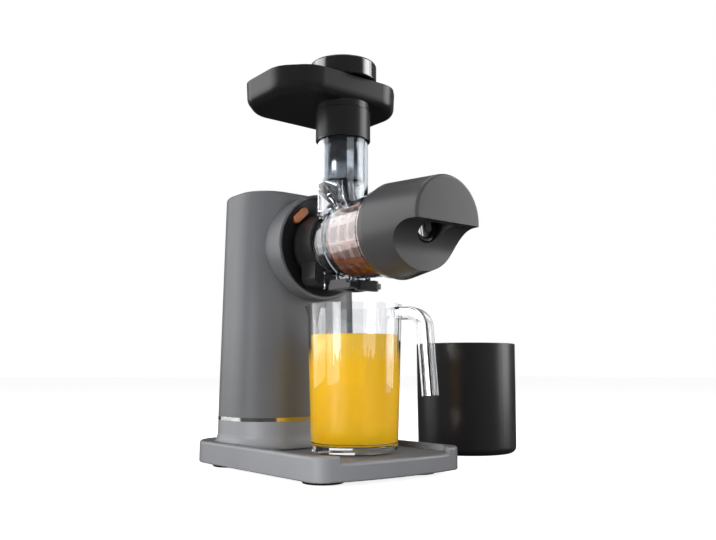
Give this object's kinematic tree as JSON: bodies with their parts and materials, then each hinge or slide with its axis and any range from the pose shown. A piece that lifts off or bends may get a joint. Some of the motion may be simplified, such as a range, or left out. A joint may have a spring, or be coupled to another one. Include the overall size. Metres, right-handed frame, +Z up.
{
  "type": "cold press juicer",
  "caption": "Upright cold press juicer with horizontal auger chamber, feed tube and tray, clear juice jug on its base and a separate pulp cup.",
  "frame": {"origin": "on the table, at the centre of the four feet's pattern", "axes": "+X out of the nozzle towards the end cap, +Y towards the side where the pulp cup stands, +Z up"},
  "size_m": [0.2838, 0.3546, 0.372],
  "materials": {
    "grey_casing": "satin",
    "black_satin": "satin",
    "black_gloss": "gloss",
    "clear_plastic": "gloss",
    "amber_plastic": "gloss",
    "copper_button": "gloss",
    "bright_trim": "polished",
    "black_rubber": "matte",
    "silicone": "matte",
    "steel": "brushed",
    "zinc_steel": "satin",
    "gear_nylon": "satin",
    "gear_steel": "machined",
    "bronze": "satin",
    "board_green": "satin",
    "spring_steel": "polished"
  },
  "bodies": {
    "machine": {"base_platform": "grey_casing", "base_cover": "black_satin", "cover_screws": "steel", "feet": "black_rubber", "tower_shell": "grey_casing", "trim_strip": "bright_trim", "cord_grommet": "black_rubber", "control_board": "board_green", "start_spring": "spring_steel", "reverse_spring": "spring_steel", "drum_collar": "grey_casing", "drum_dish": "black_satin", "socket_ring": "black_satin", "release_spring": "spring_steel", "gear_plate_rear": "zinc_steel", "gear_plate_front": "zinc_steel", "gear_posts": "steel", "gear_screws": "steel", "motor_can": "zinc_steel", "motor_bell": "zinc_steel", "motor_bearings": "bronze", "output_bush": "bronze"},
    "start_key": {"start_button": "black_gloss"},
    "reverse_key": {"reverse_button": "black_gloss"},
    "release_key": {"release_button": "copper_button"},
    "rotor": {"motor_rotor": "steel", "motor_pinion": "gear_steel"},
    "lay_gears": {"layshaft": "steel", "lay_wheel": "gear_nylon", "lay_pinion": "gear_steel"},
    "output": {"output_wheel": "gear_nylon", "output_shaft": "steel"},
    "rear_seal": {"chamber_seal": "silicone"},
    "screw": {"auger": "black_satin", "auger_stub": "steel"},
    "juicing_chamber": {"chamber": "clear_plastic", "filter_basket": "amber_plastic", "filter_mesh": "amber_plastic"},
    "spout_cover": {"drip_stop": "black_gloss"},
    "front_seal": {"cap_seal": "silicone"},
    "cap": {"end_cap": "black_satin", "outlet_ring": "black_gloss"},
    "loading_tray": {"hopper_tray": "black_gloss", "tube_collar": "black_gloss"},
    "pusher": {"pusher_stem": "black_gloss", "pusher_cap": "black_gloss"},
    "juice_jug": {"jug": "clear_plastic"},
    "pulp_cup": {"pulp_container": "black_satin"}
  },
  "joints": [
    {"name": "start_press", "type": "slide", "parent": "machine", "child": "start_key", "axis": [0, 0, -1], "range_m": [0, 0.0015], "stiffness_N_per_m": 400, "deforming": ["start_spring"]},
    {"name": "reverse_press", "type": "slide", "parent": "machine", "child": "reverse_key", "axis": [0, 0, -1], "range_m": [0, 0.0015], "stiffness_N_per_m": 400, "deforming": ["reverse_spring"]},
    {"name": "release_press", "type": "slide", "parent": "machine", "child": "release_key", "axis": [-1, 0, 0], "range_m": [0, 0.0025], "stiffness_N_per_m": 300, "deforming": ["release_spring"]},
    {"name": "output_spin", "type": "hinge", "parent": "machine", "child": "output", "pos_m": [0, 0, 0.204], "axis": [1, 0, 0], "continuous": true},
    {"name": "lay_spin", "type": "hinge", "parent": "machine", "child": "lay_gears", "pos_m": [-0.04, 0, 0.174], "axis": [1, 0, 0], "continuous": true},
    {"name": "motor_spin", "type": "hinge", "parent": "machine", "child": "rotor", "pos_m": [-0.06, 0, 0.204], "axis": [1, 0, 0], "continuous": true},
    {"name": "chamber_pull", "type": "slide", "parent": "machine", "child": "rear_seal", "axis": [1, 0, 0], "range_m": [0, 0.09]},
    {"name": "auger_spin", "type": "hinge", "parent": "rear_seal", "child": "screw", "pos_m": [0, 0, 0.204], "axis": [1, 0, 0], "continuous": true},
    {"name": "chamber_twist", "type": "hinge", "parent": "rear_seal", "child": "juicing_chamber", "pos_m": [0.03, 0, 0.204], "axis": [1, 0, 0], "range_deg": [-20, 0]},
    {"name": "spout_slide", "type": "slide", "parent": "juicing_chamber", "child": "spout_cover", "axis": [1, 0, 0], "range_m": [0, 0.015]},
    {"name": "cap_pull", "type": "slide", "parent": "juicing_chamber", "child": "front_seal", "axis": [1, 0, 0], "range_m": [0, 0.06]},
    {"name": "cap_twist", "type": "hinge", "parent": "front_seal", "child": "cap", "pos_m": [0.11, 0, 0.204], "axis": [1, 0, 0], "range_deg": [0, 30]},
    {"name": "tray_lift", "type": "slide", "parent": "juicing_chamber", "child": "loading_tray", "axis": [0, 0, 1], "range_m": [0, 0.05]},
    {"name": "pusher_lift", "type": "slide", "parent": "loading_tray", "child": "pusher", "axis": [0, 0, 1], "range_m": [0, 0.12]},
    {"name": "jug_slide", "type": "slide", "parent": "machine", "child": "juice_jug", "axis": [1, 0, 0], "range_m": [0, 0.12]},
    {"name": "cup_lift", "type": "slide", "parent": "machine", "child": "pulp_cup", "axis": [0, 0, 1], "range_m": [0, 0.15]}
  ],
  "couplings": [
    {"joint": "lay_spin", "follows": "output_spin", "ratio": -3},
    {"joint": "motor_spin", "follows": "output_spin", "ratio": 9},
    {"joint": "auger_spin", "follows": "output_spin", "ratio": 1}
  ]
}
